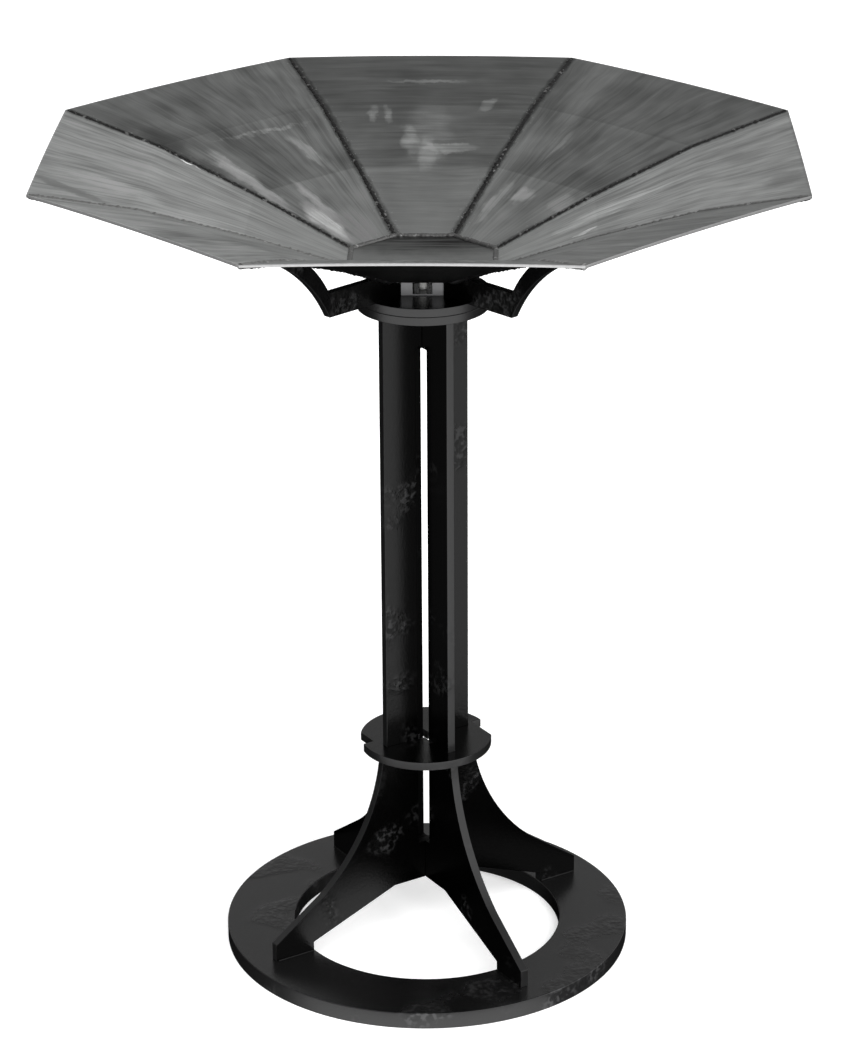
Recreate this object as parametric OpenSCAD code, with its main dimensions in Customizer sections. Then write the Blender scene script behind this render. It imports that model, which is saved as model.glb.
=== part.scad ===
// Garden bird bath: a folded stainless steel octagon bowl on a black
// plate-steel pedestal. Origin at the centre of the underside of the base
// ring, +Z up. The bowl's flat sides face X and Y.

/* [Bowl] */
// Width of the bowl across two opposite rim edges
bowl_width = 530; // [480:5:600]
// Width of the flat floor across two opposite edges
floor_width = 104; // [90:2:120]
// Height of the rim above the ground
rim_height = 620; // [600:5:660]
// Depth from the rim to the top of the floor
bowl_depth = 80; // [70:1:90]
// Thickness of the stainless sheet
sheet = 2; // [1.5:0.5:3]

/* [Plate work] */
// Thickness of the column plates, collar, discs and arms
plate = 6.35; // [5:0.05:8]
// Outer radius of the column that the crossed plates make
column_radius = 36; // [32:1:40]
// Angle of the first column plate about Z
column_angle = 33.5; // [0:0.5:45]
// Width of the long window in each column plate
window_width = 17.5; // [14:0.5:22]
// Radius of the collar part-way up the column
collar_radius = 49.3; // [46:0.1:54]
// Height of the underside of the collar
collar_height = 158.4; // [150:0.1:170]
// Radius of the two discs at the top of the column
disc_radius = 47.8; // [45:0.1:52]

/* [Base] */
// Outer radius of the base ring
ring_outer = 153; // [145:1:165]
// Inner radius of the base ring
ring_inner = 101.5; // [95:0.5:105]
// Thickness of the base ring
ring_thick = 12.7; // [10:0.1:16]
// Radius of the tips of the legs
leg_reach = 135; // [128:1:142]

/* [Head] */
// Height of the top of the column plates
column_top = 504.4; // [500:0.1:508]
// Radius at the elbow of each arm
arm_elbow = 92.5; // [88:0.5:98]
// Width of the square hub box
hub_width = 34; // [30:1:38]
// Height of the hub box
hub_height = 10.5; // [9:0.5:11]
// Width of the wrench slot in each side of the hub box
hub_slot = 14; // [12:0.5:16]
// Diameter of the stud that holds the head
stud_dia = 6; // [5:0.5:6.5]

/* [Hidden] */

black = [0.05, 0.05, 0.05];
stainless = [0.62, 0.62, 0.62];
zinc = [0.5, 0.5, 0.5];

sides = 8;
half_side = 180 / sides;
floor_z = rim_height - bowl_depth;
floor_r = floor_width / 2;
rim_r = bowl_width / 2;
// Each panel has two soft bends, at a third and two thirds of its run.
// A fold's height is a share of the bowl's depth.
fold_rise = [0, 0.394, 0.744, 1];
fold_r = [for (i = [0:3]) floor_r + (rim_r - floor_r) * i / 3];
fold_z = [for (rise = fold_rise) floor_z + bowl_depth * rise];
// Thickness of the sloping sheet, measured straight down
mean_slope = atan2(bowl_depth, rim_r - floor_r);
sheet_drop = sheet / cos(mean_slope);

disc_z = column_top;
head_z = disc_z + plate;
arm_z = head_z + plate;
// Play on each side of a halving slot, and round the stud: loose in the head's
// plates, close in the nut and in the disc that holds it
slot_play = 0.1;
stud_play = 0.1;
thread_play = 0.05;

// Legs: an arc runs down from a shoulder under the collar to a blunt tip.
// The crotch between two legs is level, then slopes down to the foot.
shoulder = 3.3;
leg_arc_mid = [53, 107];
leg_arc_end = [94, 54.5];
tip_height = 13.3;
foot_inner = 102.3;
foot_rise = 6.8;
crotch_z = 46.8;
crotch_r = 30.3;
window_low = 77.5;
window_high = 473.2;

// Arms: a level bar from the hub box, with an upswept horn under the bowl
arm_bar = 18.2;
hub_gap = 0.3;
horn_outer_mid = [114.1, 547.2];
horn_outer_end = [150, 570.8];
horn_inner_mid = [103.5, 552];
horn_inner_r = 124;
horn_gap = 0.2;

hub_wall = 3;
hub_web = 1;
cap_thick = 2.5;
cap_width = hub_width - 2;
nut_flats = 10;
nut_height = 5;
// The stud ends just under the bowl's floor
stud_top = floor_z - sheet - 1.6;
arc_steps = 16;
// How far a cutting solid runs past the face that it cuts
past = 1;

// Collar notches, in the column's own frame: how far out the notch floor
// lies, and where its side wall is
notch_right_floor = 0.84;
notch_left_floor = 0.80;
notch_left_wall = 0.235;

// Centre of the circle through three points
function circle_centre(a, b, c) =
    let (d = 2 * (a.x * (b.y - c.y) + b.x * (c.y - a.y) + c.x * (a.y - b.y)),
         aa = a * a, bb = b * b, cc = c * c)
    [(aa * (b.y - c.y) + bb * (c.y - a.y) + cc * (a.y - b.y)) / d,
     (aa * (c.x - b.x) + bb * (a.x - c.x) + cc * (b.x - a.x)) / d];

// Points of the arc from a through b to c
function arc_through(a, b, c) =
    let (m = circle_centre(a, b, c), r = norm(a - m),
         from = atan2(a.y - m.y, a.x - m.x),
         to = atan2(c.y - m.y, c.x - m.x),
         turn = to - from > 180 ? to - from - 360
              : to - from < -180 ? to - from + 360 : to - from)
    [for (i = [0:arc_steps])
        m + r * [cos(from + turn * i / arc_steps), sin(from + turn * i / arc_steps)]];

function mirrored(points) = [for (i = [len(points) - 1:-1:0]) [-points[i].x, points[i].y]];

// Underside of a bowl panel at a distance from the axis
function bowl_under(r) = lookup(r, [for (i = [0:3]) [fold_r[i], fold_z[i]]]) - sheet_drop;

// A flat plate standing upright on the XZ plane, centred on Y = 0
module upright(thick) {
    rotate([90, 0, 0])
        translate([0, 0, -thick / 2])
            linear_extrude(thick)
                children();
}

module base_ring() {
    color(black)
        difference() {
            cylinder(h = ring_thick, r = ring_outer, $fn = 120);
            translate([0, 0, -past])
                cylinder(h = ring_thick + 2 * past, r = ring_inner, $fn = 120);
        }
}

// Half outline of a column plate, from the crotch round to the column top
function leg_outline() = concat(
    [[0, crotch_z], [crotch_r, crotch_z],
     [foot_inner, ring_thick + foot_rise], [foot_inner, ring_thick],
     [leg_reach, ring_thick], [leg_reach, ring_thick + tip_height]],
    arc_through(leg_arc_end, leg_arc_mid, [column_radius + shoulder, collar_height]),
    [[column_radius, collar_height], [column_radius, column_top]]);

// A column plate. The halving slot is in the lower half of both joints on
// one plate and in the upper half on the other, so they slide together.
module column_plate(slot_low) {
    low_mid = (crotch_z + window_low) / 2;
    high_mid = (window_high + column_top) / 2;
    slot_w = plate + 2 * slot_play;
    color(black)
        upright(plate)
            difference() {
                polygon(concat(leg_outline(), mirrored(leg_outline())));
                translate([-window_width / 2, window_low])
                    square([window_width, window_high - window_low]);
                if (slot_low) {
                    translate([-slot_w / 2, crotch_z - past])
                        square([slot_w, low_mid - crotch_z + past]);
                    translate([-slot_w / 2, window_high - past])
                        square([slot_w, high_mid - window_high + past]);
                } else {
                    translate([-slot_w / 2, low_mid])
                        square([slot_w, window_low - low_mid + past]);
                    translate([-slot_w / 2, high_mid])
                        square([slot_w, column_top - high_mid + past]);
                }
            }
}

module column_plate_a() {
    rotate(column_angle)
        column_plate(true);
}

module column_plate_b() {
    rotate(column_angle + 90)
        column_plate(false);
}

// A disc with a cross cut in it, which slides down the column onto the
// shoulders of the legs. Its rim has two notches.
module collar() {
    slot_l = 2 * (column_radius + slot_play);
    slot_w = plate + 2 * slot_play;
    cut_h = plate + 2 * past;
    color(black)
        translate([0, 0, collar_height])
            rotate(column_angle)
                difference() {
                    cylinder(h = plate, r = collar_radius, $fn = 96);
                    translate([-slot_l / 2, -slot_w / 2, -past])
                        cube([slot_l, slot_w, cut_h]);
                    translate([-slot_w / 2, -slot_l / 2, -past])
                        cube([slot_w, slot_l, cut_h]);
                    translate([notch_right_floor * collar_radius, -collar_radius, -past])
                        cube([collar_radius, collar_radius, cut_h]);
                    translate([-(1 + notch_left_floor) * collar_radius,
                               notch_left_wall * collar_radius, -past])
                        cube([collar_radius, collar_radius, cut_h]);
                }
}

// One of the two discs at the top of the column, with a hole for the stud
module disc(play) {
    color(black)
        difference() {
            cylinder(h = plate, r = disc_radius, $fn = 96);
            stud_hole(plate, play);
        }
}

module stud_hole(depth, play) {
    translate([0, 0, -past])
        cylinder(h = depth + 2 * past, r = stud_dia / 2 + play, $fn = 32);
}

module column_disc() {
    translate([0, 0, disc_z])
        disc(thread_play);
}

module head_disc() {
    translate([0, 0, head_z])
        disc(stud_play);
}

// A short square tube with a wrench slot in each side, so that the nut can
// be held. A thin web at the foot joins its corners.
module hub_box() {
    inner = hub_width - 2 * hub_wall;
    color(black)
        translate([-hub_width / 2, -hub_width / 2, arm_z])
            difference() {
                cube([hub_width, hub_width, hub_height]);
                translate([hub_wall, hub_wall, -past])
                    cube([inner, inner, hub_height + 2 * past]);
                translate([(hub_width - hub_slot) / 2, -past, hub_web])
                    cube([hub_slot, hub_width + 2 * past, hub_height]);
                translate([-past, (hub_width - hub_slot) / 2, hub_web])
                    cube([hub_width + 2 * past, hub_slot, hub_height]);
            }
}

// The square washer on top of the hub box
module hub_cap() {
    color(black)
        translate([0, 0, arm_z + hub_height])
            difference() {
                translate([-cap_width / 2, -cap_width / 2, 0])
                    cube([cap_width, cap_width, cap_thick]);
                stud_hole(cap_thick, stud_play);
            }
}

module head_stud() {
    color(zinc)
        translate([0, 0, disc_z])
            cylinder(h = stud_top - disc_z, r = stud_dia / 2, $fn = 32);
}

module stud_nut() {
    color(zinc)
        translate([0, 0, arm_z + hub_height + cap_thick])
            difference() {
                cylinder(h = nut_height, r = nut_flats / 2 / cos(30), $fn = 6);
                stud_hole(nut_height, thread_play);
            }
}

// Side view of an arm, lying along +X
module arm_outline() {
    bar_start = hub_width / sqrt(2) + hub_gap;
    bar_top = arm_z + arm_bar;
    elbow = [arm_elbow, arm_z];
    inner_end = [horn_inner_r, bowl_under(horn_inner_r) - horn_gap];
    outer_top = [horn_outer_end.x, bowl_under(horn_outer_end.x) - horn_gap];
    polygon(concat(
        [[bar_start, arm_z]],
        arc_through(elbow, horn_outer_mid, horn_outer_end),
        [outer_top],
        arc_through(inner_end, horn_inner_mid, [arm_elbow, bar_top]),
        [[bar_start, bar_top]]));
}

module arm(angle) {
    color(black)
        rotate(angle)
            upright(plate)
                arm_outline();
}

module arm_back_right() {
    arm(45);
}

module arm_back_left() {
    arm(135);
}

module arm_front_left() {
    arm(225);
}

module arm_front_right() {
    arm(315);
}

module bowl_floor() {
    color(stainless)
        translate([0, 0, floor_z - sheet])
            rotate(half_side)
                cylinder(h = sheet, r = floor_r / cos(half_side), $fn = sides);
}

// One bowl panel: a strip with two soft bends, cut to its eighth of the
// octagon
module bowl_panel(index) {
    reach = rim_r + past;
    top = [for (i = [0:3]) [fold_r[i], fold_z[i]]];
    under = [for (i = [3:-1:0]) [fold_r[i], fold_z[i] - sheet_drop]];
    color(stainless)
        rotate(360 / sides * index)
            intersection() {
                upright(2 * reach)
                    polygon(concat(top, under));
                linear_extrude(rim_height + past)
                    polygon([[0, 0], reach * [1, -tan(half_side)], reach * [1, tan(half_side)]]);
            }
}

module bowl_panel_right() {
    bowl_panel(0);
}

module bowl_panel_back_right() {
    bowl_panel(1);
}

module bowl_panel_back() {
    bowl_panel(2);
}

module bowl_panel_back_left() {
    bowl_panel(3);
}

module bowl_panel_left() {
    bowl_panel(4);
}

module bowl_panel_front_left() {
    bowl_panel(5);
}

module bowl_panel_front() {
    bowl_panel(6);
}

module bowl_panel_front_right() {
    bowl_panel(7);
}

base_ring();
column_plate_a();
column_plate_b();
collar();
column_disc();
head_disc();
hub_box();
hub_cap();
head_stud();
stud_nut();
arm_front_left();
arm_front_right();
arm_back_left();
arm_back_right();
bowl_floor();
bowl_panel_right();
bowl_panel_back_right();
bowl_panel_back();
bowl_panel_back_left();
bowl_panel_left();
bowl_panel_front_left();
bowl_panel_front();
bowl_panel_front_right();
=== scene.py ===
"""Looks of an octagonal stainless bird bath on a black plate-steel pedestal.

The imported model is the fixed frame. Each class below dresses or rebuilds one
sub-assembly of it, in metres and in the frame's own axes: +Z up, the bowl's
flat sides facing X and Y.
"""

import logging
import math
import random
from collections.abc import Callable
from dataclasses import dataclass, field
from enum import Enum

import bmesh
import bpy
from mathutils import Matrix, Vector, noise


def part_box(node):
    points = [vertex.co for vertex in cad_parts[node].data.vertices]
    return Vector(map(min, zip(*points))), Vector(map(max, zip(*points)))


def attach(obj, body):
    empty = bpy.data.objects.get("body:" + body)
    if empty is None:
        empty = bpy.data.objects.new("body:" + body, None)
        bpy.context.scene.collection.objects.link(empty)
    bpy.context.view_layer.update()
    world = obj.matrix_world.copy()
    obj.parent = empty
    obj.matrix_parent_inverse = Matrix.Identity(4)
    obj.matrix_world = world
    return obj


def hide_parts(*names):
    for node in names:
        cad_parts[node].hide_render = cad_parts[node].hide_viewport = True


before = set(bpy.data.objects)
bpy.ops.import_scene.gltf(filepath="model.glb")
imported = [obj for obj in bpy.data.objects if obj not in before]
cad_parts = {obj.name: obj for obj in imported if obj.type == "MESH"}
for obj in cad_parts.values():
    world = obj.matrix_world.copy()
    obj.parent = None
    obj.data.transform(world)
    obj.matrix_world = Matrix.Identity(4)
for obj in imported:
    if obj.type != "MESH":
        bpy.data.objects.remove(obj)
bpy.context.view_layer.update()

LOG = logging.getLogger("bird_bath")
NOISE_SEED = 1107
MM = 0.001
SIDES = 8
SIDE_ANGLE = math.tau / SIDES
HALF_SIDE = SIDE_ANGLE / 2
QUARTER_TURN = math.pi / 2


class Body(Enum):
    """The moving bodies of the frame."""

    STAND = "stand"
    HEAD = "head"
    BOWL = "bowl"


class Slot(Enum):
    """The record's material slots."""

    BLACK = "black_powder_coat"
    STEEL = "brushed_stainless"
    ZINC = "zinc_fastener"


class Grain(Enum):
    """Which way the grinding lines of a sheet run."""

    FAN = "towards the bowl's centre"
    ACROSS = "along the rim"


# ---------- shader maths


def operator(operation: str, flipped: bool = False) -> Callable[..., "Value"]:
    """Makes one of Python's operators add a Math node.

    Args:
        operation: The Math node's operation.
        flipped: Whether the Value stands on the right, as in 1 - mask.

    Returns:
        The method that the operator calls.
    """

    def method(self: "Value", other: object = 0.0) -> "Value":
        """Adds the Math node."""
        pair = (other, self) if flipped else (self, other)
        return self.graph.node("ShaderNodeMath", {"operation": operation}, dict(enumerate(pair)))

    return method


class Value:
    """A number in a node tree, on which Python's arithmetic works."""

    __add__, __radd__ = operator("ADD"), operator("ADD", True)
    __sub__, __rsub__ = operator("SUBTRACT"), operator("SUBTRACT", True)
    __mul__, __rmul__ = operator("MULTIPLY"), operator("MULTIPLY", True)
    __truediv__ = operator("DIVIDE")
    __abs__ = operator("ABSOLUTE")

    def __init__(self, graph: "Graph", socket: bpy.types.NodeSocket) -> None:
        """Wraps an output socket.

        Args:
            graph: The node tree that the socket is in.
            socket: The output socket that gives the number.
        """
        self.graph = graph
        self.socket = socket

    def step(self, low: float, high: float) -> "Value":
        """A smooth step.

        Args:
            low: Where the step is still 0.
            high: Where the step has reached 1.

        Returns:
            A number from 0 to 1.
        """
        return self.graph.node(
            "ShaderNodeMapRange",
            {"interpolation_type": "SMOOTHSTEP"},
            {"Value": self, "From Min": low, "From Max": high},
        )


class Graph:
    """A node tree of a material or of the world."""

    def __init__(self, tree: bpy.types.NodeTree) -> None:
        """Empties the tree.

        Args:
            tree: The node tree to fill.
        """
        self.tree = tree
        tree.nodes.clear()

    def node(self, kind: str, settings: dict, inputs: dict, output: int | str = 0) -> Value:
        """Adds a node.

        Args:
            kind: The node's Blender type.
            settings: Its properties, and under "stops" the stops of its ramp.
            inputs: Socket name or index to a number, tuple or Value.
            output: Name or index of the output to return.

        Returns:
            The chosen output.
        """
        made = self.tree.nodes.new(kind)
        for key, value in settings.items():
            if key == "stops":
                self._fill_ramp(made.color_ramp, value)
            else:
                setattr(made, key, value)
        for key, value in inputs.items():
            if isinstance(value, Value):
                self.tree.links.new(value.socket, made.inputs[key])
            else:
                made.inputs[key].default_value = value
        return Value(self, made.outputs[output]) if made.outputs else Value(self, None)

    @staticmethod
    def _fill_ramp(ramp: bpy.types.ColorRamp, stops: tuple[tuple[float, float], ...]) -> None:
        """Sets a grey ramp's stops.

        Args:
            ramp: The ramp.
            stops: The place and the brightness of each.
        """
        while len(ramp.elements) < len(stops):
            ramp.elements.new(1.0)
        for element, (place, grey) in zip(ramp.elements, stops):
            element.position = place
            element.color = (grey, grey, grey, 1.0)

    def place(self) -> Value:
        """The point on the object, in the frame's axes."""
        return self.node("ShaderNodeTexCoord", {}, {}, "Object")

    def turned(self, vector: Value, angle: float) -> Value:
        """The vector turned about Z by an angle in radians."""
        return self.node("ShaderNodeMapping", {}, {"Vector": vector, "Rotation": (0, 0, angle)})

    def parts(self, vector: Value) -> tuple[Value, Value, Value]:
        """The three parts of a vector."""
        split = self.node("ShaderNodeSeparateXYZ", {}, {"Vector": vector})
        return tuple(Value(self, output) for output in split.socket.node.outputs)

    def vector(self, x: object, y: object, z: object) -> Value:
        """A vector from three numbers or links."""
        return self.node("ShaderNodeCombineXYZ", {}, {"X": x, "Y": y, "Z": z})

    def cells(self, vector: Value, detail: float = 2.0, roughness: float = 0.5) -> Value:
        """Noise whose cells are one unit of the vector wide.

        Args:
            vector: The place, in cells.
            detail: Octaves.
            roughness: How strong the finer octaves are.

        Returns:
            A number about 0.5.
        """
        return self.node(
            "ShaderNodeTexNoise",
            {"normalize": True},
            {"Vector": vector, "Scale": 1.0, "Detail": detail, "Roughness": roughness},
        )

    def scaled(self, vector: Value, size: float) -> Value:
        """The vector counted in cells of a size in metres."""
        return self.node(
            "ShaderNodeVectorMath", {"operation": "SCALE"}, {0: vector, "Scale": 1.0 / size}
        )

    def grey(self, tone: Value, tint: tuple[float, float, float]) -> Value:
        """A colour of one tint whose brightness is the tone."""
        red, green, blue = (tone * part for part in tint)
        return self.node("ShaderNodeCombineColor", {}, {"Red": red, "Green": green, "Blue": blue})

    def relief(self, height: Value, strength: float, depth: float) -> Value:
        """A normal from a height.

        Args:
            height: The height, from 0 to 1.
            strength: The Bump node's strength.
            depth: The height of 1, in metres.

        Returns:
            The normal.
        """
        return self.node(
            "ShaderNodeBump", {}, {"Height": height, "Strength": strength, "Distance": depth},
            "Normal",
        )


# ---------- finishes


@dataclass(frozen=True)
class Finish:
    """A finish that one Principled shader gives. Sheet and beads are bare metal."""

    name: str

    def material(self) -> bpy.types.Material:
        """Builds the material.

        Returns:
            The material, with its fixed values set and its links made.
        """
        made = bpy.data.materials.new(self.name)
        made.use_nodes = True
        graph = Graph(made.node_tree)
        shader = made.node_tree.nodes.new("ShaderNodeBsdfPrincipled")
        out = made.node_tree.nodes.new("ShaderNodeOutputMaterial")
        made.node_tree.links.new(shader.outputs[0], out.inputs["Surface"])
        for key, value in self.constants().items():
            shader.inputs[key].default_value = value
        for key, value in self.links(graph, graph.place()).items():
            made.node_tree.links.new(value.socket, shader.inputs[key])
        return made

    def constants(self) -> dict[str, float]:
        """The sockets that are the same all over the surface."""
        return {"Metallic": 1.0}

    def links(self, graph: Graph, place: Value) -> dict[str, Value]:
        """The sockets that vary over the surface."""
        raise NotImplementedError


@dataclass(frozen=True)
class Smudge:
    """A brighter or darker patch that a grinder left on a sheet.

    Places are in metres in the panel's own frame: run is the distance from the
    bowl's axis, and side the distance from the panel's middle line.
    """

    run: float
    side: float
    length: float
    width: float
    turn: float = 0.0
    strength: float = 0.5

    def mask(self, run: Value, side: Value) -> Value:
        """How much of the smudge is at a place.

        Args:
            run: Distance from the bowl's axis.
            side: Distance from the panel's middle line.

        Returns:
            A number from 0 to the smudge's strength.
        """
        cos, sin = math.cos(math.radians(self.turn)), math.sin(math.radians(self.turn))
        away, aside = run - self.run, side - self.side
        along = (away * cos + aside * sin) / self.length
        across = (aside * cos - away * sin) / self.width
        return (1.0 - (along * along + across * across)).step(0.0, 1.0) * self.strength


@dataclass(frozen=True)
class SheetFinish(Finish):
    """Ground and brushed stainless sheet, with its grain in a panel's frame."""

    name: str
    angle: float
    seed: float
    grain: Grain = Grain.FAN
    # Brightness of the sheet between its bends: painted reflection of the room's light
    painted_light_zones: tuple[float, float, float] = (0.3, 0.3, 0.3)
    folds: tuple[float, float] = (0.123, 0.194)
    streaks: float = 1.2
    clouds: float = 0.7
    hair_size: tuple[float, float] = (0.045, 0.0012)
    stroke_size: tuple[float, float] = (0.050, 0.0040)
    broad_size: tuple[float, float] = (0.090, 0.014)
    wave: float = 0.004
    smudges: tuple[Smudge, ...] = ()
    seam_tints: tuple[float, float] = (0.5, 0.5)
    matting: float = 0.085
    tint: tuple[float, float, float] = (0.98, 1.0, 0.985)

    def links(self, graph: Graph, place: Value) -> dict[str, Value]:
        """The sockets that vary over the sheet.

        Args:
            graph: The node tree.
            place: The point on the object.

        Returns:
            Socket name to the value that feeds it.
        """
        place = graph.turned(place, -self.angle)
        run, side, _ = graph.parts(place)
        shift = (graph.cells(graph.scaled(place, 0.040), 1.0) - 0.5) * self.wave
        if self.grain is Grain.FAN:
            middle = sum(self.folds) / 2
            along, across = run, side / run * middle + shift
        else:
            along, across = side, run + shift
        hair = self._lines(graph, along, across, *self.hair_size)
        stroke = self._lines(graph, along, across, *self.stroke_size)
        broad = self._lines(graph, along, across, *self.broad_size)
        cloud = graph.cells(graph.scaled(place, 0.038), 2.0)
        mark = (stroke - 0.5) * 1.0 + (broad - 0.5) * 0.8 + (hair - 0.5) * 0.35
        mark = mark * self.streaks * (0.5 + run.step(0.06, 0.15) * 0.5)
        tone = self._painted_light_zone(run) * (1.0 + mark + (cloud - 0.5) * self.clouds)
        ragged_run = run + (graph.cells(graph.scaled(place, 0.011), 3.0, 0.6) - 0.5) * 0.016
        ragged_side = side + (graph.cells(graph.scaled(place, 0.017), 3.0, 0.6) - 0.5) * 0.016
        links = {}
        for smudge in self.smudges:
            mask = smudge.mask(ragged_run, ragged_side) * (0.2 + stroke * 1.6)
            tone = tone * (1.0 + mask)
            if smudge.strength > 0:
                links["Metallic"] = links.get("Metallic", 1.0) - mask * self.matting
        if any(self.seam_tints):
            tone = tone * self._seam_stain(graph, place, run, side)
        return links | {
            "Base Color": graph.grey(tone, self.tint),
            "Roughness": 0.24 + stroke * 0.16 + cloud * 0.08,
            "Normal": graph.relief(stroke * 0.6 + hair * 0.25 + broad * 0.8, 0.4, 0.7 * MM),
        }

    def _painted_light_zone(self, run: Value) -> Value:
        """The sheet's brightness between its bends, painted reflection that stands in for the
        room's light on each band.

        Args:
            run: Distance from the bowl's axis.

        Returns:
            The brightness.
        """
        low, middle, high = self.painted_light_zones
        inner, outer = self.folds
        zone = low + run.step(inner - 0.001, inner + 0.001) * (middle - low)
        return zone + run.step(outer - 0.001, outer + 0.001) * (high - middle)

    def _seam_stain(self, graph: Graph, place: Value, run: Value, side: Value) -> Value:
        """How the heat of the seams darkens the sheet, with bright flecks in it.

        Args:
            graph: The node tree.
            place: The point in the panel's frame.
            run: Distance from the bowl's axis.
            side: Distance from the panel's middle line.

        Returns:
            A factor on the brightness.
        """
        gap = (run * math.tan(HALF_SIDE) - abs(side)) * math.cos(HALF_SIDE)
        patch = graph.cells(graph.scaled(place, 0.009), 2.0)
        clockwise, counter = self.seam_tints
        strength = clockwise + side.step(-0.001, 0.001) * (counter - clockwise)
        dark = (1.0 - (gap - patch * 0.004).step(0.0, 0.0028)) * strength
        fleck = graph.cells(graph.scaled(place, 0.0019), 1.0).step(0.66, 0.74)
        near = 1.0 - gap.step(0.002, 0.009)
        return 1.0 - dark + fleck * near * strength * 1.8

    def _lines(
        self, graph: Graph, along: Value, across: Value, length: float, width: float
    ) -> Value:
        """Stretched noise.

        Args:
            graph: The node tree.
            along: Place along the grain, in metres.
            across: Place across the grain, in metres.
            length: Length of a streak, in metres.
            width: Width of a streak, in metres.

        Returns:
            A number about 0.5.
        """
        shift = self.seed + width * 1000
        return graph.cells(graph.vector(along / length + shift, across / width, shift), 2.0, 0.55)


@dataclass(frozen=True)
class ShadedUndersideFinish(Finish):
    """The bowl's outside: rough, and dark as painted shade that stands in for the shade under the
    bowl.
    """

    name: str = "painted_shade_underside"
    tone: float = 0.045

    def links(self, graph: Graph, place: Value) -> dict[str, Value]:
        """The sockets that vary over the underside.

        Args:
            graph: The node tree.
            place: The point on the object.

        Returns:
            Socket name to the value that feeds it.
        """
        scale = graph.cells(graph.scaled(place, 0.0025), 3.0)
        cloud = graph.cells(graph.scaled(place, 0.05), 3.0, 0.6)
        return {
            "Base Color": graph.grey(self.tone * (0.4 + cloud * 1.2), (0.99, 1.0, 1.02)),
            "Roughness": 0.34 + cloud * 0.2 + scale * 0.06,
            "Normal": graph.relief(scale * 0.3 + cloud, 0.25, 0.0006),
        }


@dataclass(frozen=True)
class BeadFinish(Finish):
    """A weld bead: scaly, heat-darkened or brushed bright; the front seams' lighter copy is painted
    light.
    """

    name: str
    dark: float
    light: float

    def links(self, graph: Graph, place: Value) -> dict[str, Value]:
        """The sockets that vary over the bead.

        Args:
            graph: The node tree.
            place: The point on the object.

        Returns:
            Socket name to the value that feeds it.
        """
        scale = graph.cells(graph.scaled(place, 0.0022), 3.0, 0.65)
        fleck = graph.cells(graph.scaled(place, 0.0045), 2.0).step(0.60, 0.72)
        span = self.light - self.dark
        tone = self.dark + scale * (span * 0.35) + fleck * span
        return {
            "Base Color": graph.grey(tone, (1.0, 1.0, 0.99)),
            "Roughness": 0.32 + scale * 0.3,
            "Normal": graph.relief(scale, 0.8, 0.0006),
        }


@dataclass(frozen=True)
class EdgeFinish(Finish):
    """The ground edge of a sheet, nearly even; its tone is painted light, bright for a painted
    highlight and dark for painted shade.
    """

    name: str
    tone: float
    metallic: float = 1.0

    def constants(self) -> dict[str, float]:
        """The sockets that are the same all over the surface."""
        return {"Metallic": self.metallic}

    def links(self, graph: Graph, place: Value) -> dict[str, Value]:
        """The sockets that vary over the edge.

        Args:
            graph: The node tree.
            place: The point on the object.

        Returns:
            Socket name to the value that feeds it.
        """
        file_marks = graph.cells(graph.scaled(place, 0.003), 2.0)
        return {
            "Base Color": graph.grey(self.tone * (0.85 + file_marks * 0.3), (1.0, 1.0, 1.0)),
            "Roughness": 0.3 + file_marks * 0.15,
            "Normal": graph.relief(file_marks, 0.2, 0.0002),
        }


@dataclass(frozen=True)
class BlackCoat(Finish):
    """Black coat on plate steel, pebbled and dusty in patches."""

    name: str = "black_coat"
    tone: float = 0.0003
    dust: float = 0.028
    gloss: float = 0.17
    ior: float = 1.5

    def constants(self) -> dict[str, float]:
        """The sockets that are the same all over the surface."""
        return {"IOR": self.ior}

    def links(self, graph: Graph, place: Value) -> dict[str, Value]:
        """The sockets that vary over the coat.

        Args:
            graph: The node tree.
            place: The point on the object.

        Returns:
            Socket name to the value that feeds it.
        """
        peel = graph.cells(graph.scaled(place, 0.0012), 2.0)
        pebble = graph.cells(graph.scaled(place, 0.0038), 1.5, 0.5)
        patch = graph.cells(graph.scaled(place, 0.045), 1.0).step(0.55, 0.70)
        worn = pebble.step(0.48, 0.66) * patch
        return {
            "Base Color": graph.grey(self.tone + worn * self.dust, (1.0, 1.0, 1.02)),
            "Roughness": self.gloss + peel * 0.06 + patch * 0.10,
            "Normal": graph.relief(peel * 0.22 + pebble * patch * 1.2, 0.6, 0.0008),
        }


@dataclass(frozen=True)
class ZincFinish(Finish):
    """Bright zinc plate on the fastener."""

    name: str = "zinc_plate"
    metallic: float = 0.3

    def constants(self) -> dict[str, float]:
        """The sockets that are the same all over the surface."""
        return {"Metallic": self.metallic}

    def links(self, graph: Graph, place: Value) -> dict[str, Value]:
        """The sockets that vary over the fastener.

        Args:
            graph: The node tree.
            place: The point on the object.

        Returns:
            Socket name to the value that feeds it.
        """
        grain = graph.cells(graph.scaled(place, 0.0012), 3.0)
        stain = graph.cells(graph.scaled(place, 0.006), 2.0)
        return {
            "Base Color": graph.grey(0.70 + stain * 0.25, (1.0, 1.0, 0.98)),
            "Roughness": 0.35 + grain * 0.2,
            "Normal": graph.relief(grain, 0.25, 0.0002),
        }


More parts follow.
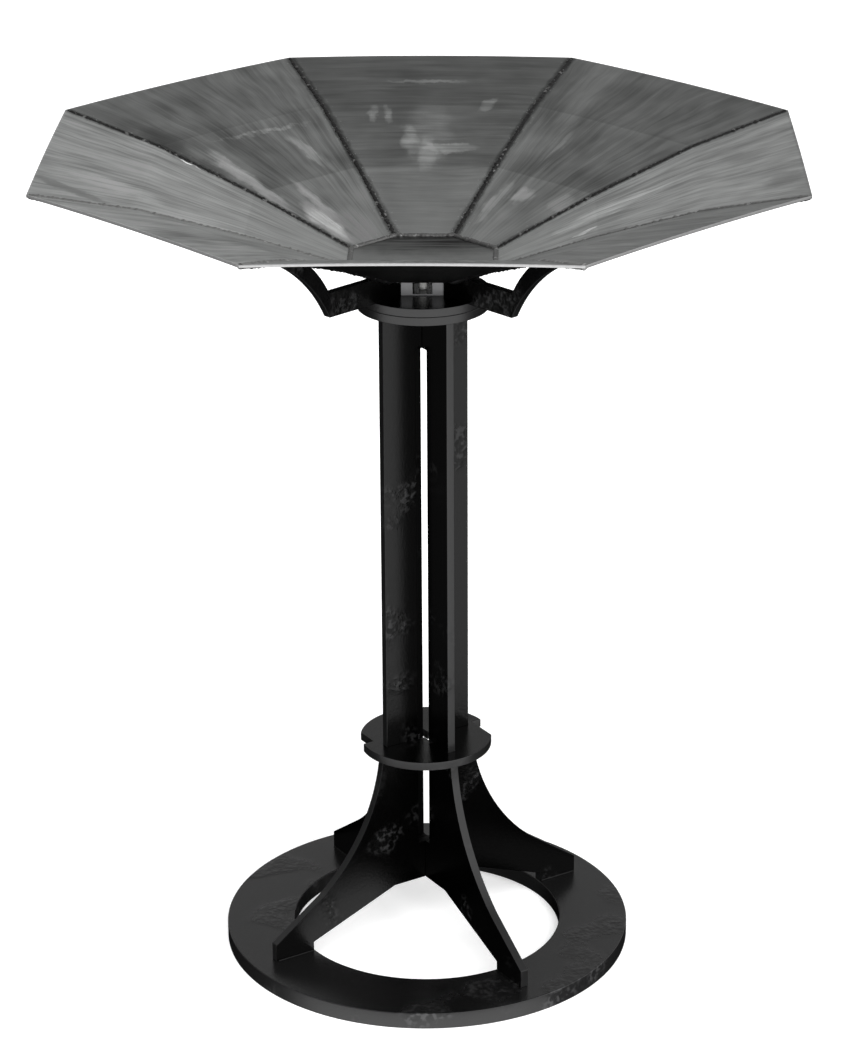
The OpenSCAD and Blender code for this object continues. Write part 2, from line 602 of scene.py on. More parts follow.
@dataclass(frozen=True)
class FloorFinish(Finish):
    """The stage's floor, and the dull card on it."""

    name: str = "pale_floor"
    tone: float = 0.86
    glow: float = 0.45

    def constants(self) -> dict[str, float]:
        """The sockets that are the same all over the surface."""
        return {"Roughness": 0.9, "Specular IOR Level": 0.05, "Emission Strength": self.glow}

    def links(self, graph: Graph, place: Value) -> dict[str, Value]:
        """The sockets that vary over the ground.

        Args:
            graph: The node tree.
            place: The point on the object.

        Returns:
            Socket name to the value that feeds it.
        """
        cloud = graph.cells(graph.scaled(place, 0.9), 2.0)
        grey = graph.grey(self.tone * (0.98 + cloud * 0.04), (1.0, 1.0, 1.0))
        return {"Base Color": grey, "Emission Color": grey}


# ---------- mesh tools


def heading(angle: float) -> Vector:
    """The level direction at an angle from +X."""
    return Vector((math.cos(angle), math.sin(angle), 0))


def placed(name: str, data: bpy.types.ID) -> bpy.types.Object:
    """Puts a new object into the scene.

    Args:
        name: The object's name.
        data: Its mesh, curve, light or camera.

    Returns:
        The object.
    """
    made = bpy.data.objects.new(name, data)
    bpy.context.scene.collection.objects.link(made)
    return made


def finish_piece(
    name: str,
    mesh: bmesh.types.BMesh,
    body: Body,
    materials: list[bpy.types.Material],
    node: str = "",
    flat_angle: float = 40.0,
    weighed: bool = False,
) -> None:
    """Makes an object of a mesh and ties it to the frame.

    Args:
        name: The piece's name.
        mesh: Its mesh, in place, which is freed.
        body: The body that it rides on.
        materials: Its materials, in the order of the faces' indices.
        node: The CAD node that it replaces, if any.
        flat_angle: Edges sharper than this, in degrees, stay sharp.
        weighed: Whether its large flat faces keep flat in the light.
    """
    limit = math.radians(flat_angle)
    for face in mesh.faces:
        face.smooth = True
    for edge in mesh.edges:
        edge.smooth = len(edge.link_faces) == 2 and edge.calc_face_angle(0.0) < limit
    data = bpy.data.meshes.new(name)
    mesh.to_mesh(data)
    mesh.free()
    made = placed(name, data)
    for material in materials:
        data.materials.append(material)
    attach(made, body.value)
    if node:
        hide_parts(node)
    if weighed:
        modifier = made.modifiers.new("flat faces", "WEIGHTED_NORMAL")
        modifier.keep_sharp = True
        modifier.weight = 100
    LOG.info("%s: %d faces, on %s", name, len(data.polygons), body.value)


def broken_copy(node: str, width: float) -> bmesh.types.BMesh:
    """A clean copy of a CAD node's mesh, with its sharp edges bevelled.

    Args:
        node: The node's name.
        width: The bevel's width, in metres.

    Returns:
        Its mesh, merged, with its flat faces whole.
    """
    mesh = bmesh.new()
    mesh.from_mesh(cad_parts[node].data)
    bmesh.ops.remove_doubles(mesh, verts=mesh.verts, dist=2e-6)
    bmesh.ops.dissolve_limit(
        mesh, angle_limit=math.radians(0.4), verts=mesh.verts, edges=mesh.edges
    )
    limit = math.radians(30)
    sharp = [e for e in mesh.edges if len(e.link_faces) == 2 and e.calc_face_angle() > limit]
    bmesh.ops.bevel(
        mesh, geom=sharp, offset=width, offset_type="OFFSET", segments=2, profile=0.5,
        affect="EDGES", clamp_overlap=True, material=-1,
    )
    return mesh


def turned_plate(
    inner: float, outer: float, low: float, high: float, edge: float, steps: int = 192
) -> bmesh.types.BMesh:
    """A flat ring with rounded edges.

    Args:
        inner: Radius of the hole.
        outer: Outer radius.
        low: Height of the underside.
        high: Height of the top.
        edge: Radius of the rounded edges.
        steps: Steps round the ring.

    Returns:
        Its mesh.
    """
    mesh = bmesh.new()
    corners = [(inner, low), (outer, low), (outer, high), (inner, high)]
    mesh.faces.new([mesh.verts.new((r, 0, z)) for r, z in corners])
    bmesh.ops.bevel(
        mesh, geom=mesh.verts[:], offset=edge, segments=3, profile=0.5, affect="VERTICES",
        material=-1,
    )
    outline = mesh.edges[:]
    bmesh.ops.delete(mesh, geom=mesh.faces[:], context="FACES_ONLY")
    bmesh.ops.spin(
        mesh, geom=outline, cent=(0, 0, 0), axis=(0, 0, 1), angle=math.tau, steps=steps,
        use_merge=True, use_duplicate=False,
    )
    bmesh.ops.remove_doubles(mesh, verts=mesh.verts, dist=1e-7)
    bmesh.ops.recalc_face_normals(mesh, faces=mesh.faces)
    return mesh


@dataclass(frozen=True)
class Bead:
    """An uneven weld bead along a line."""

    radius: float = 1.5 * MM
    unevenness: float = 0.22
    ripple: float = 2.4 * MM
    spacing: float = 0.9 * MM

    def lay(
        self, name: str, lines: list[list[Vector]], closed: bool, seed: int
    ) -> bmesh.types.BMesh:
        """Sweeps the bead along lines.

        Args:
            name: A name for the curve.
            lines: The corners of each line.
            closed: Whether each line returns to its start.
            seed: Seed of the unevenness.

        Returns:
            The mesh of the beads.
        """
        curve = bpy.data.curves.new(name, "CURVE")
        curve.dimensions = "3D"
        curve.bevel_depth = self.radius
        curve.bevel_resolution = 2
        curve.use_fill_caps = True
        for number, corners in enumerate(lines):
            points = self._walk(corners, closed)
            spline = curve.splines.new("POLY")
            spline.points.add(len(points) - 1)
            spline.use_cyclic_u = closed
            for index, point in enumerate(points):
                place = index * self.spacing / self.ripple
                swell = noise.noise(Vector((place, number * 7.3, seed)))
                shift = noise.noise_vector(Vector((place * 0.5, number * 3.1, seed + 11)))
                spline.points[index].co = (*(point + shift * self.radius * 0.12), 1.0)
                spline.points[index].radius = 1.0 + swell * 2 * self.unevenness
        holder = placed(name, curve)
        shape = holder.evaluated_get(bpy.context.evaluated_depsgraph_get()).to_mesh()
        mesh = bmesh.new()
        mesh.from_mesh(shape)
        bpy.data.objects.remove(holder)
        bpy.data.curves.remove(curve)
        bmesh.ops.remove_doubles(mesh, verts=mesh.verts, dist=1e-7)
        bmesh.ops.recalc_face_normals(mesh, faces=mesh.faces)
        return mesh

    def _walk(self, corners: list[Vector], closed: bool) -> list[Vector]:
        """Points at even spacing along a line.

        Args:
            corners: The line's corners.
            closed: Whether it returns to its start.

        Returns:
            The points.
        """
        ends = corners[1:] + corners[:1] if closed else corners[1:]
        points = []
        for start, end in zip(corners, ends):
            steps = max(1, round((end - start).length / self.spacing))
            points += [start.lerp(end, step / steps) for step in range(steps)]
        return points if closed else points + [corners[-1]]


# ---------- bowl


# How each panel's finish differs, with the smudges of the grinder on it; the tones between the
# bends are painted reflection of the room's light
PANEL_LOOKS: dict[str, dict[str, object]] = {
    "right": {
        "painted_light_zones": (0.69, 0.62, 0.61), "seam_tints": (0.1, 0.5),
        "stroke_size": (0.028, 0.0034), "streaks": 1.4,
        "smudges": (
            Smudge(0.135, 0.004, 0.050, 0.016, 8, 0.45),
            Smudge(0.115, -0.029, 0.012, 0.0035, 12, 0.9),
            Smudge(0.250, -0.060, 0.016, 0.018, 0, -0.30),
            Smudge(0.225, 0.015, 0.014, 0.030, 20, -0.16),
        ),
    },
    "back_right": {
        "painted_light_zones": (0.76, 0.57, 0.43), "streaks": 0.95, "clouds": 1.2, "wave": 0.009,
        "smudges": (
            Smudge(0.104, 0.004, 0.009, 0.012, 30, 0.5),
            Smudge(0.092, 0.020, 0.030, 0.006, 10, 0.35),
            Smudge(0.108, -0.032, 0.012, 0.012, 0, 0.25),
            Smudge(0.165, 0.025, 0.040, 0.008, 12, 0.25),
        ),
    },
    "back": {
        "painted_light_zones": (0.76, 0.57, 0.46), "streaks": 0.6, "clouds": 0.6, "grain": Grain.ACROSS,
        "smudges": (
            Smudge(0.227, 0.004, 0.0035, 0.040, 0, 0.3),
            Smudge(0.185, 0.030, 0.014, 0.005, 8, 0.45),
            Smudge(0.184, 0.043, 0.014, 0.005, -5, 0.4),
            Smudge(0.196, -0.044, 0.013, 0.005, -35, 0.45),
            Smudge(0.154, 0.014, 0.020, 0.008, 10, 0.35),
            Smudge(0.144, -0.018, 0.007, 0.026, 0, 0.4),
            Smudge(0.138, 0.000, 0.022, 0.009, 5, 0.35),
            Smudge(0.160, 0.000, 0.045, 0.022, 0, 0.25),
        ),
    },
    "back_left": {
        "painted_light_zones": (0.86, 0.64, 0.51), "streaks": 0.95, "clouds": 1.2, "wave": 0.007,
        "smudges": (
            Smudge(0.080, 0.019, 0.028, 0.010, 6, 1.0),
            Smudge(0.140, 0.043, 0.045, 0.008, 8, 0.6),
            Smudge(0.148, -0.028, 0.030, 0.007, 8, 0.35),
            Smudge(0.103, 0.010, 0.028, 0.006, 4, 0.5),
            Smudge(0.182, -0.010, 0.0022, 0.062, -3, 0.3),
            Smudge(0.200, 0.070, 0.026, 0.016, 10, -0.35),
            Smudge(0.158, 0.058, 0.018, 0.006, 15, -0.30),
        ),
    },
    "left": {
        "painted_light_zones": (0.69, 0.75, 0.79), "seam_tints": (0.5, 0.1),
        "stroke_size": (0.045, 0.0034), "streaks": 1.3,
        "smudges": (
            Smudge(0.170, -0.066, 0.010, 0.0020, -22, 2.0),
            Smudge(0.215, 0.040, 0.045, 0.014, -10, 0.25),
            Smudge(0.240, 0.075, 0.040, 0.008, -18, -0.35),
        ),
    },
    "front_left": {"painted_light_zones": (0.62, 0.66, 0.78), "seam_tints": (0.1, 0.1)},
    "front": {"painted_light_zones": (0.55, 0.55, 0.55), "seam_tints": (0.1, 0.1)},
    "front_right": {"painted_light_zones": (0.55, 0.53, 0.48), "seam_tints": (0.1, 0.1)},
}


@dataclass
class Bowl:
    """The bowl: eight bent panels and a floor, welded along their seams."""

    fold_rise: tuple[float, ...] = (0.0, 0.394, 0.744, 1.0)
    bend: float = 2.5 * MM
    corner_drop: float = 1.5 * MM
    dent: float = 0.18 * MM
    cuts_out: int = 96
    cuts_across: int = 64
    bead: Bead = Bead(radius=2.1 * MM, unevenness=0.28)
    bead_lift: float = 1.0 * MM
    rim_edge: float = 0.3 * MM
    names: tuple[str, ...] = (
        "right", "back_right", "back", "back_left", "left", "front_left", "front", "front_right",
    )
    floor_r: float = field(init=False)
    rim_r: float = field(init=False)
    floor_z: float = field(init=False)
    rim_z: float = field(init=False)
    sheet_drop: float = field(init=False)

    def __post_init__(self) -> None:
        """Reads the bowl's sizes from the frame."""
        low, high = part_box("bowl_panel_back")
        self.floor_r, self.rim_r, self.rim_z = low.y, high.y, high.z
        self.floor_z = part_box("bowl_floor")[1].z
        self.sheet_drop = self.floor_z - low.z

    def fold_radii(self) -> list[float]:
        """Distances of the floor's edge, the two bends and the rim from the axis."""
        last = len(self.fold_rise) - 1
        return [self.floor_r + (self.rim_r - self.floor_r) * i / last for i in range(last + 1)]

    def height(self, run: float, share: float) -> float:
        """Height of a panel's top face.

        Args:
            run: Distance from the axis, along the panel's middle line.
            share: Place across the panel, from -1 at one seam to 1 at the other.

        Returns:
            The height above the ground.
        """
        radii = self.fold_radii()
        depth = self.rim_z - self.floor_z
        slopes = [
            (self.fold_rise[i + 1] - self.fold_rise[i]) * depth / (radii[i + 1] - radii[i])
            for i in range(len(radii) - 1)
        ]
        z = self.floor_z + slopes[0] * (run - radii[0])
        for radius, before, after in zip(radii[1:-1], slopes, slopes[1:]):
            z += (after - before) * self._ramp(run - radius)
        out = (run - self.floor_r) / (self.rim_r - self.floor_r)
        return z - self.corner_drop * share**2 * out**3

    def _ramp(self, past: float) -> float:
        """A ramp from 0 that starts softly over the width of a bend."""
        if past <= -self.bend:
            return 0.0
        return past if past >= self.bend else (past + self.bend) ** 2 / (4 * self.bend)

    def build(self) -> None:
        """Builds the panels, the floor and the welds."""
        # The front rim's bright edge is a painted highlight, and the other rims' dull edge is
        # painted shade
        bright = EdgeFinish("painted_highlight_edge", 0.92).material()
        dull = EdgeFinish("painted_shade_edge", 0.28, 0.3).material()
        # The dark underside finish is painted shade for the shade under the bowl
        under = ShadedUndersideFinish().material()
        for index, finish in enumerate(self.finishes()):
            edge = bright if self.names[index] == "front" else dull
            self.panel(index, [finish.material(), edge, under])
        self.floor(under)
        self.welds(under)

    def finishes(self) -> list[SheetFinish]:
        """The finishes of the panels.

        Returns:
            One finish a panel, counter-clockwise from the right.
        """
        inner, outer = self.fold_radii()[1:3]
        return [
            SheetFinish(
                f"sheet_{name}", angle=index * SIDE_ANGLE, seed=index * 5.7, folds=(inner, outer),
                **PANEL_LOOKS[name],
            )
            for index, name in enumerate(self.names)
        ]

    def panel(self, index: int, materials: list[bpy.types.Material]) -> None:
        """Builds one panel.

        Args:
            index: Its place, counter-clockwise from the right.
            materials: The finish of its top, its rim's edge and its underside.
        """
        mesh = bmesh.new()
        bmesh.ops.create_grid(mesh, x_segments=self.cuts_out, y_segments=self.cuts_across, size=1.0)
        for vert in mesh.verts:
            run = self.floor_r + (self.rim_r - self.floor_r) * (vert.co.x + 1) / 2
            share = vert.co.y
            vert.co = (run, share * run * math.tan(HALF_SIDE), self.height(run, share))
        under = bmesh.ops.extrude_face_region(mesh, geom=mesh.faces[:], use_keep_orig=True)["geom"]
        under_verts = {g for g in under if isinstance(g, bmesh.types.BMVert)}
        bmesh.ops.translate(mesh, verts=list(under_verts), vec=(0, 0, -self.sheet_drop))
        for vert in mesh.verts:
            if vert not in under_verts:
                vert.co.z += self._dent(vert.co, index)
        bmesh.ops.recalc_face_normals(mesh, faces=mesh.faces)
        near_rim = self.rim_r - 0.05 * MM
        rim = [
            e for e in mesh.edges
            if all(v.co.x > near_rim for v in e.verts) and e.calc_face_angle(0) > math.radians(40)
        ]
        bmesh.ops.bevel(
            mesh, geom=rim, offset=self.rim_edge, segments=2, profile=0.5, affect="EDGES",
            material=-1,
        )
        mesh.normal_update()
        for face in mesh.faces:
            if all(v.co.x > near_rim - self.rim_edge for v in face.verts):
                face.material_index = 1
            else:
                face.material_index = 2 if face.normal.z < -0.5 else 0
        bmesh.ops.transform(
            mesh, matrix=Matrix.Rotation(index * SIDE_ANGLE, 4, "Z"), verts=mesh.verts
        )
        name = f"panel_{self.names[index]}"
        finish_piece(name, mesh, Body.BOWL, materials, f"bowl_{name}")

    def _dent(self, point: Vector, index: int) -> float:
        """How far the hand-worked sheet rises, nothing at its edges.

        Args:
            point: The place in the panel's frame.
            index: The panel's number.

        Returns:
            The rise, in metres.
        """
        half = point.x * math.tan(HALF_SIDE)
        share = 1 - (point.y / half) ** 2
        out = (point.x - self.floor_r) / (self.rim_r - self.floor_r)
        fade = share * 4 * out * (1 - out)
        place = Vector((point.x / 0.05, point.y / 0.03, index * 9.1))
        return self.dent * fade * (1 + noise.noise(place))

    def floor(self, under: bpy.types.Material) -> None:
        """Builds the octagonal floor, dished a little.

        Args:
            under: The finish of its underside.
        """
        mesh = bmesh.new()
        reach = self.floor_r / math.cos(HALF_SIDE)
        bmesh.ops.create_grid(mesh, x_segments=40, y_segments=40, size=reach)
        for side in range(SIDES):
            out = heading(side * SIDE_ANGLE)
            bmesh.ops.bisect_plane(
                mesh, geom=mesh.verts[:] + mesh.edges[:] + mesh.faces[:], dist=1e-7,
                plane_co=out * self.floor_r, plane_no=out, clear_outer=True,
            )
        for vert in mesh.verts:
            share = min(1.0, vert.co.xy.length / self.floor_r)
            vert.co.z = self.floor_z - 0.7 * MM * (1 - share**2)
        lower = bmesh.ops.extrude_face_region(mesh, geom=mesh.faces[:], use_keep_orig=True)["geom"]
        moved = [g for g in lower if isinstance(g, bmesh.types.BMVert)]
        for vert in moved:
            vert.co.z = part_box("bowl_floor")[0].z
        bmesh.ops.recalc_face_normals(mesh, faces=mesh.faces)
        for face in mesh.faces:
            face.material_index = 1 if face.normal.z < -0.5 else 0
        finish = SheetFinish(
            "sheet_floor", angle=math.pi / 2, seed=77.0, painted_light_zones=(0.50, 0.50, 0.50), streaks=0.5,
            clouds=0.3, grain=Grain.ACROSS, folds=(0.4, 0.5), seam_tints=(0.0, 0.0),
            smudges=(Smudge(0.060, 0.0, 0.065, 0.12, 0, -0.8),),
        )
        dress = [finish.material(), under]
        finish_piece("bowl_floor_plate", mesh, Body.BOWL, dress, "bowl_floor")

    def seam_line(self, side: int) -> list[Vector]:
        """The line at mid-sheet along a seam.

        Args:
            side: The seam's number, from the one after the right panel.

        Returns:
            Points from the floor to just short of the rim.
        """
        out = heading((side + 0.5) * SIDE_ANGLE) / math.cos(HALF_SIDE)
        steps = 60
        end = self.rim_r - 2.0 * MM
        line = []
        for step in range(steps + 1):
            run = self.floor_r + (end - self.floor_r) * step / steps
            line.append(out * run + Vector((0, 0, self.height(run, 1.0) - self.sheet_drop / 2)))
        return line

    def welds(self, under: bpy.types.Material) -> None:
        """Lays the beads along the seams and round the floor, with their spatter.

        Args:
            under: The finish of the seams' undersides.
        """
        dark = BeadFinish("seam_weld", dark=0.03, light=0.55).material()
        # The front seams' lighter copy of the weld is painted light, hiding the dark reflections
        # these seams would show
        soft = BeadFinish("painted_light_seam_weld", dark=0.50, light=0.80).material()
        bright = BeadFinish("floor_weld", dark=0.35, light=0.85).material()
        for side in range(SIDES):
            mesh = self.bead.lay("seam", [self.seam_line(side)], False, side)
            look = dark if side < 4 else soft
            mesh.normal_update()
            for face in mesh.faces:
                face.material_index = int(face.normal.z < 0)
            finish_piece(
                f"seam_weld_{side}", mesh, Body.BOWL, [look, under], flat_angle=60
            )
        radius = self.floor_r / math.cos(HALF_SIDE)
        middle = Vector((0, 0, self.floor_z - self.sheet_drop / 2 + self.bead_lift))
        corners = [heading((k + 0.5) * SIDE_ANGLE) * radius + middle for k in range(SIDES)]
        mesh = Bead(radius=2.0 * MM, unevenness=0.2).lay("floor_seam", [corners], True, 50)
        finish_piece("floor_weld", mesh, Body.BOWL, [bright], flat_angle=60)
        finish_piece("weld_spatter", self.spatter(), Body.BOWL, [bright])

    def spatter(self) -> bmesh.types.BMesh:
        """Small drops of weld metal beside the seams.

        Returns:
            Their mesh.
        """
        rng = random.Random(1107)
        mesh = bmesh.new()
        for side in range(SIDES):
            for count in range(22):
                at_floor = count < 5
                far = self.floor_r + 7 * MM if at_floor else self.rim_r - 8 * MM
                run = rng.uniform(self.floor_r + 2 * MM, far)
                aside = rng.choice((-1, 1)) * rng.uniform(0.6, 3.2) * MM
                size = rng.uniform(0.25, 0.6) * MM * (1.6 if at_floor else 1.0)
                share = 1 - abs(aside) / (run * math.tan(HALF_SIDE))
                panel = side + (0 if aside < 0 else 1)
                across = share * run * math.tan(HALF_SIDE) * (1 if aside < 0 else -1)
                spot = Vector((run, across, self.height(run, share)))
                turn = Matrix.Rotation(panel * SIDE_ANGLE, 4, "Z")
                flat = Matrix.Diagonal((1, 1, 0.6, 1))
                bmesh.ops.create_icosphere(
                    mesh, subdivisions=1, radius=size, matrix=turn @ Matrix.Translation(spot) @ flat
                )
        return mesh


# ---------- pedestal


def coat_cut_edges(mesh: bmesh.types.BMesh, across: Vector, window: float = 0.0) -> None:
    """Gives the cut edges of a plate the second material, or the third in its window.

    Args:
        mesh: The plate.
        across: The direction of its thickness.
        window: Edges nearer the upright axis than this are in a window.
    """
    mesh.normal_update()
    for face in mesh.faces:
        inside = face.calc_center_median().xy.length < window
        cut = abs(face.normal.dot(across)) < 0.8
        face.material_index = (2 if inside else 1) if cut else 0


@dataclass(frozen=True)
class Coats:
    """Copies of the black coat, one for each kind of surface; the lighter tones of the edge, rim,
    level and post copies are painted light for how each kind catches the light.
    """

    faces: bpy.types.Material
    edges: bpy.types.Material
    rims: bpy.types.Material
    level: bpy.types.Material
    window: bpy.types.Material
    post: bpy.types.Material


@dataclass
class Pedestal:
    """The stand: ring, crossed plates, collar and disc."""

    edge: float = 0.45 * MM
    ring_edge: float = 0.8 * MM
    ring_inner: float = 101.5 * MM
    stud_hole: float = 3.05 * MM
    foot: tuple[float, float] = (0.1035, 0.1335)
    tack: tuple[float, float] = (0.012, 0.034)
    column_angle: float = math.radians(33.5)
    window: float = 22 * MM

    def build(self, coats: Coats) -> None:
        """Builds the stand's pieces.

        Args:
            coats: The black finishes.
        """
        up, turn = Vector((0, 0, 1)), self.column_angle + QUARTER_TURN
        level = [coats.faces, coats.rims]
        upright = [coats.faces, coats.edges, coats.window]
        for name, node, across, dress in (
            ("ring_plate", "base_ring", up, [coats.level, coats.rims]),
            ("lower_disc", "column_disc", up, level),
            ("column_plate_a_coated", "column_plate_a", heading(turn), upright),
            ("column_plate_b_coated", "column_plate_b", heading(turn + QUARTER_TURN), upright),
            ("collar_coated", "collar", up, level),
        ):
            mesh = self.shape(node)
            coat_cut_edges(mesh, across, self.window if dress is upright else 0.0)
            finish_piece(name, mesh, Body.STAND, dress, node, weighed=True)
        self.welds(coats.faces)

    def shape(self, node: str) -> bmesh.types.BMesh:
        """Turns the ring and the disc, and copies the plates with cut outlines.

        Args:
            node: The plate's CAD node.

        Returns:
            The plate's mesh.
        """
        low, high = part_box(node)
        if node == "base_ring":
            return turned_plate(self.ring_inner, high.x, low.z, high.z, self.ring_edge, 256)
        if node == "column_disc":
            return turned_plate(self.stud_hole, high.x, low.z, high.z, self.edge)
        return broken_copy(node, self.edge)

    def welds(self, coat: bpy.types.Material) -> None:
        """Lays the coated fillets beside the feet and under the top disc.

        Args:
            coat: The black finish.
        """
        ring_top = Vector((0, 0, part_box("base_ring")[1].z))
        disc_under = Vector((0, 0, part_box("column_disc")[0].z))
        low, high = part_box("collar")
        half = (high.z - low.z) / 2
        feet, tacks = [], []
        for leg in range(4):
            angle = self.column_angle + leg * QUARTER_TURN
            out = heading(angle)
            for hand in (-half, half):
                aside = heading(angle + QUARTER_TURN) * hand
                feet.append([out * run + aside + ring_top for run in self.foot])
                tacks.append([out * run + aside + disc_under for run in self.tack])
        for name, lines, radius, seed in (
            ("foot_welds", feet, 1.1 * MM, 3),
            ("disc_welds", tacks, 1.2 * MM, 4),
        ):
            mesh = Bead(radius=radius, unevenness=0.15).lay(name, lines, False, seed)
            finish_piece(name, mesh, Body.STAND, [coat], flat_angle=60)


@dataclass
class Fastener:
    """The stud and nut that hold the head."""

    pitch: float = 1.0 * MM
    thread_depth: float = 0.45 * MM
    steps_a_turn: int = 24
    nut_edge: float = 0.4 * MM

    def build(self) -> None:
        """Builds the threaded stud and the nut."""
        zinc = ZincFinish().material()
        low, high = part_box("head_stud")
        radius = high.x
        turns = round((high.z - low.z) / self.pitch) - 2
        mesh = bmesh.new()
        start = low.z + self.pitch / 2
        profile = [
            (radius - self.thread_depth, start),
            (radius - 0.05 * MM, start + 0.45 * self.pitch),
            (radius - 0.05 * MM, start + 0.55 * self.pitch),
            (radius - self.thread_depth, start + self.pitch),
        ]
        verts = [mesh.verts.new((r, 0, z)) for r, z in profile]
        edges = [mesh.edges.new(pair) for pair in zip(verts, verts[1:])]
        steps = turns * self.steps_a_turn
        bmesh.ops.spin(
            mesh, geom=verts + edges, cent=(0, 0, 0), axis=(0, 0, 1), angle=math.tau * turns,
            dvec=(0, 0, turns * self.pitch / steps), steps=steps, use_duplicate=False,
        )
        bmesh.ops.remove_doubles(mesh, verts=mesh.verts, dist=1e-6)
        core = radius - self.thread_depth - 0.02 * MM
        bmesh.ops.create_cone(
            mesh, cap_ends=True, segments=32, radius1=core, radius2=core, depth=high.z - low.z,
            matrix=Matrix.Translation((0, 0, (low.z + high.z) / 2)),
        )
        bmesh.ops.recalc_face_normals(mesh, faces=mesh.faces)
        finish_piece("threaded_stud", mesh, Body.STAND, [zinc], "head_stud")
        nut = broken_copy("stud_nut", self.nut_edge)
        finish_piece("hex_nut", nut, Body.STAND, [zinc], "stud_nut", weighed=True)


@dataclass
class Head:
    """The head that carries the bowl: disc, hub box, cap and four arms."""

    edge: float = 0.45 * MM
    small_edge: float = 0.25 * MM
    play: float = 0.02 * MM
    stud_hole: float = 3.1 * MM
    arms: tuple[str, ...] = ("arm_front_left", "arm_front_right", "arm_back_left", "arm_back_right")

    def build(self, coats: Coats) -> None:
        """Builds the head's pieces.

        Args:
            coats: The black finishes.
        """
        low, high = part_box("head_disc")
        disc = turned_plate(self.stud_hole, high.x, low.z + self.play, high.z, self.edge)
        coat_cut_edges(disc, Vector((0, 0, 1)))
        pieces = [("upper_disc", disc, coats.rims, "head_disc")]
        for node in self.arms:
            low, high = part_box(node)
            middle = (low + high) / 2
            mesh = broken_copy(node, self.edge)
            coat_cut_edges(mesh, Vector((-middle.y, middle.x, 0)).normalized())
            pieces.append((f"{node}_coated", mesh, coats.edges, node))
        # The hub's outside takes a lighter coat, painted light where light falls on the hub
        for node in ("hub_box", "hub_cap"):
            mesh = broken_copy(node, self.small_edge)
            self._painted_light_outside(mesh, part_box("hub_box")[1].x)
            pieces.append((f"{node}_coated", mesh, coats.post, node))
        for name, mesh, coat, node in pieces:
            dress = [coats.faces, coat]
            finish_piece(name, mesh, Body.HEAD, dress, node, weighed=True)

    def _painted_light_outside(self, mesh: bmesh.types.BMesh, reach: float) -> None:
        """Gives the outside of the hub the second material, a lighter coat that is painted light.

        Args:
            mesh: The hub's box or cap.
            reach: Half the width of the hub box.
        """
        for face in mesh.faces:
            spot = face.calc_center_median()
            face.material_index = int(max(abs(spot.x), abs(spot.y)) > reach - self.small_edge)


# ---------- stage


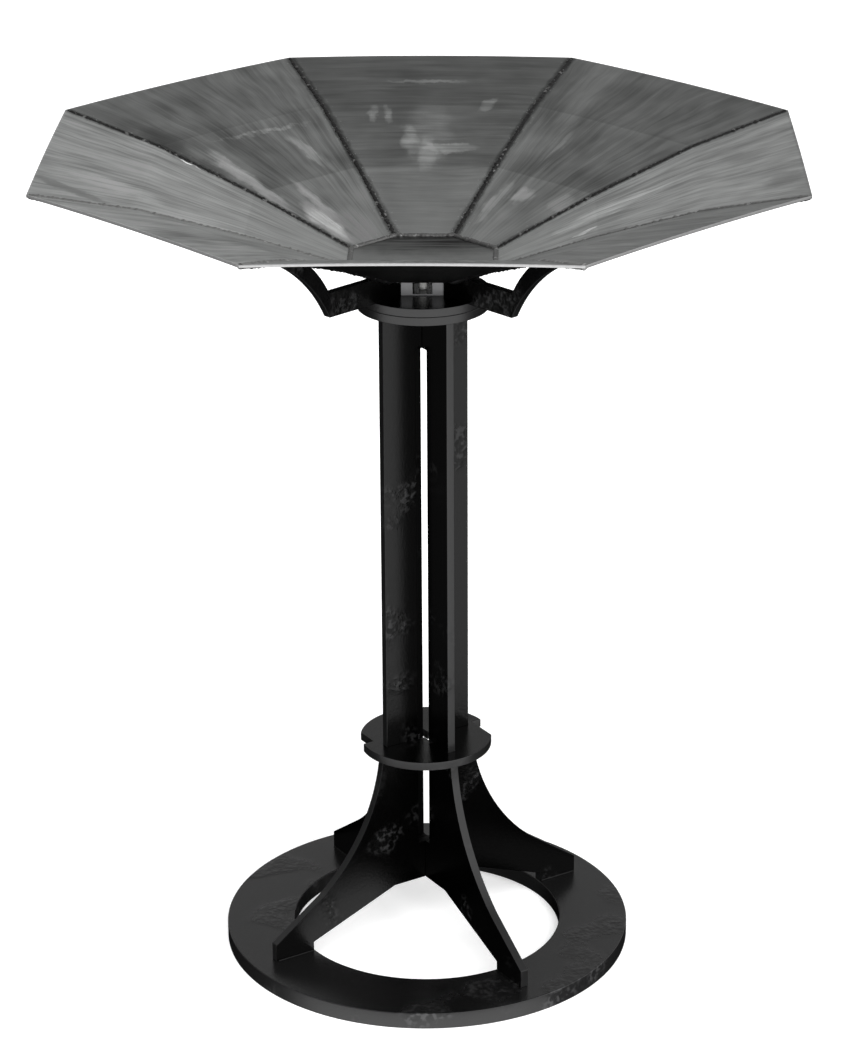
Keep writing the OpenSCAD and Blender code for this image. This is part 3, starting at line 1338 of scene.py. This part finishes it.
@dataclass
class Stage:
    """The pale floor, the soft lights and the camera."""

    pitch: float = math.radians(21.97)
    turn: float = math.radians(1.46)
    roll: float = math.radians(0.35)
    distance: float = 2.335
    lateral: float = 0.0018
    eye_height: float = 1.2766
    focal_share: float = 3.266
    sensor: float = 36.0
    # Inner and outer radius of each part of the card, its first angle and its turn
    card: tuple[tuple[float, ...], ...] = ((0.18, 0.38, 0, 360), (0.01, 0.18, -50, 240))
    card_lift: float = 0.1 * MM
    sun_strength: float = 2.6
    sun_spread: float = math.radians(50)
    sun_turn: tuple[float, float, float] = (math.radians(38), 0, math.radians(18))
    # Place, side and power of each soft light
    softboxes: tuple[tuple[str, tuple[float, float, float], float, float], ...] = (
        ("top", (-0.4, 0.3, 3.4), 3.0, 90.0),
        ("front", (0.35, -2.6, 0.45), 1.3, 42.0),
    )
    # Brightness of the room from the level up to straight overhead
    sky: tuple[tuple[float, float], ...] = (
        (0.0, 0.46), (0.36, 0.46), (0.60, 0.22), (0.80, 0.11), (0.90, 0.15), (1.0, 0.35),
    )

    def build(self) -> None:
        """Builds the stage."""
        self.floor()
        self.lights()
        self.world()
        self.camera()

    def floor(self) -> None:
        """Lays the floor, and a dark card that only reflections show."""
        ground = self.ground("stage_floor", FloorFinish().material())
        mesh = bmesh.new()
        bmesh.ops.create_grid(mesh, x_segments=1, y_segments=1, size=14.0)
        mesh.to_mesh(ground.data)
        mesh.free()
        ground.visible_glossy = ground.visible_diffuse = False
        card = self.ground("stage_card", FloorFinish("black_card", 0.001, 0.0).material())
        mesh = bmesh.new()
        for inner, outer, first, turn in self.card:
            out, lift = heading(math.radians(first)), Vector((0, 0, self.card_lift))
            start = [mesh.verts.new(out * radius + lift) for radius in (inner, outer)]
            bmesh.ops.spin(
                mesh, geom=start + [mesh.edges.new(start)], cent=(0, 0, 0), axis=(0, 0, 1),
                angle=math.radians(turn), steps=64, use_merge=turn == 360,
            )
        mesh.to_mesh(card.data)
        mesh.free()
        card.visible_camera = card.visible_diffuse = card.visible_shadow = False

    def ground(self, name: str, material: bpy.types.Material) -> bpy.types.Object:
        """An empty mesh object of the stage.

        Args:
            name: Its name.
            material: Its finish.

        Returns:
            The object.
        """
        data = bpy.data.meshes.new(name)
        data.materials.append(material)
        made = placed(name, data)
        return made

    def lights(self) -> None:
        """Hangs the soft lights."""
        data = bpy.data.lights.new("sun", "SUN")
        data.energy = self.sun_strength
        data.angle = self.sun_spread
        sun = placed("sun", data)
        sun.rotation_euler = self.sun_turn
        sun.visible_glossy = False
        for softbox in self.softboxes:
            self.softbox(*softbox)

    def softbox(
        self, name: str, spot: tuple[float, float, float], size: float, watts: float
    ) -> None:
        """Hangs a square light that faces the object.

        Args:
            name: Its name.
            spot: Where it hangs.
            size: Its side, in metres.
            watts: Its power.
        """
        data = bpy.data.lights.new(name, "AREA")
        data.shape = "SQUARE"
        data.size = size
        data.energy = watts
        light = placed(name, data)
        light.location = spot
        aim = Vector((0, 0, 0.35)) - light.location
        light.rotation_euler = aim.to_track_quat("-Z", "Y").to_euler()
        light.visible_glossy = False

    def world(self) -> None:
        """Surrounds the object with the walls and flags that its gloss shows."""
        world = bpy.data.worlds.new("studio")
        bpy.context.scene.world = world
        world.use_nodes = True
        graph = Graph(world.node_tree)
        direction = graph.node("ShaderNodeTexCoord", {}, {}, "Generated")
        x, y, z = graph.parts(direction)
        to_right_front = x * 0.77 - y * 0.64
        to_back = y * 0.93 + x * 0.37
        below = (0.0 - y).step(0.08, 0.34) * 0.80 + 0.01
        ramp = graph.node("ShaderNodeValToRGB", {"stops": self.sky}, {"Fac": z})
        above = graph.node("ShaderNodeRGBToBW", {}, {"Color": ramp})
        flagged = (1.0 - to_back.step(0.1, 0.75)) * (1.0 - z.step(0.35, 0.7)) * 0.88
        above = above * (1.0 - flagged) + to_right_front.step(0.3, 0.9) * 0.6
        behind = (1.0 - abs(x).step(0.012, 0.045)) * y.step(0.50, 0.60) * (1.0 - z.step(0.33, 0.40))
        above = above * (1.0 - behind * 0.95)
        up = z.step(-0.06, 0.06)
        seen = graph.node("ShaderNodeLightPath", {}, {}, "Is Camera Ray")
        glow = (below * (1.0 - up) + above * up) * (1.0 - seen) + seen
        shade = graph.node("ShaderNodeBackground", {}, {"Color": graph.grey(glow, (1, 1, 1))})
        graph.node("ShaderNodeOutputWorld", {}, {"Surface": shade})

    def camera(self) -> None:
        """Sets up the camera."""
        data = bpy.data.cameras.new("camera")
        data.sensor_width = self.sensor
        data.lens = self.sensor * self.focal_share
        camera = placed("camera", data)
        camera.matrix_world = (
            Matrix.Rotation(self.turn, 4, "Z")
            @ Matrix.Translation((self.lateral, -self.distance, self.eye_height))
            @ Matrix.Rotation(QUARTER_TURN - self.pitch, 4, "X")
            @ Matrix.Rotation(-self.roll, 4, "Z")
        )
        bpy.context.scene.camera = camera
        bpy.context.scene.view_settings.view_transform = "Standard"


def main() -> None:
    """Builds the stage and the object."""
    logging.basicConfig(level=logging.INFO, format="%(name)s: %(message)s")
    noise.seed_set(NOISE_SEED)
    Stage().build()
    # The coat copies' lighter tones are painted light for each kind of surface
    coats = Coats(
        faces=BlackCoat().material(),
        edges=BlackCoat("cut_edge_coat", tone=0.011, dust=0.012, gloss=0.28, ior=1.8).material(),
        rims=BlackCoat("turned_edge_coat", tone=0.014, dust=0.04, gloss=0.3, ior=1.85).material(),
        level=BlackCoat("level_coat", tone=0.004, dust=0.012, gloss=0.2, ior=1.7).material(),
        window=BlackCoat("window_edge_coat", 0.0005, dust=0.006, gloss=0.5, ior=1.22).material(),
        # The hub's coat is painted light
        post=BlackCoat("painted_light_hub_coat", tone=0.25, dust=0.12, gloss=0.4).material(),
    )
    Pedestal().build(coats)
    Head().build(coats)
    Fastener().build()
    Bowl().build()


if __name__ == "__main__":
    main()
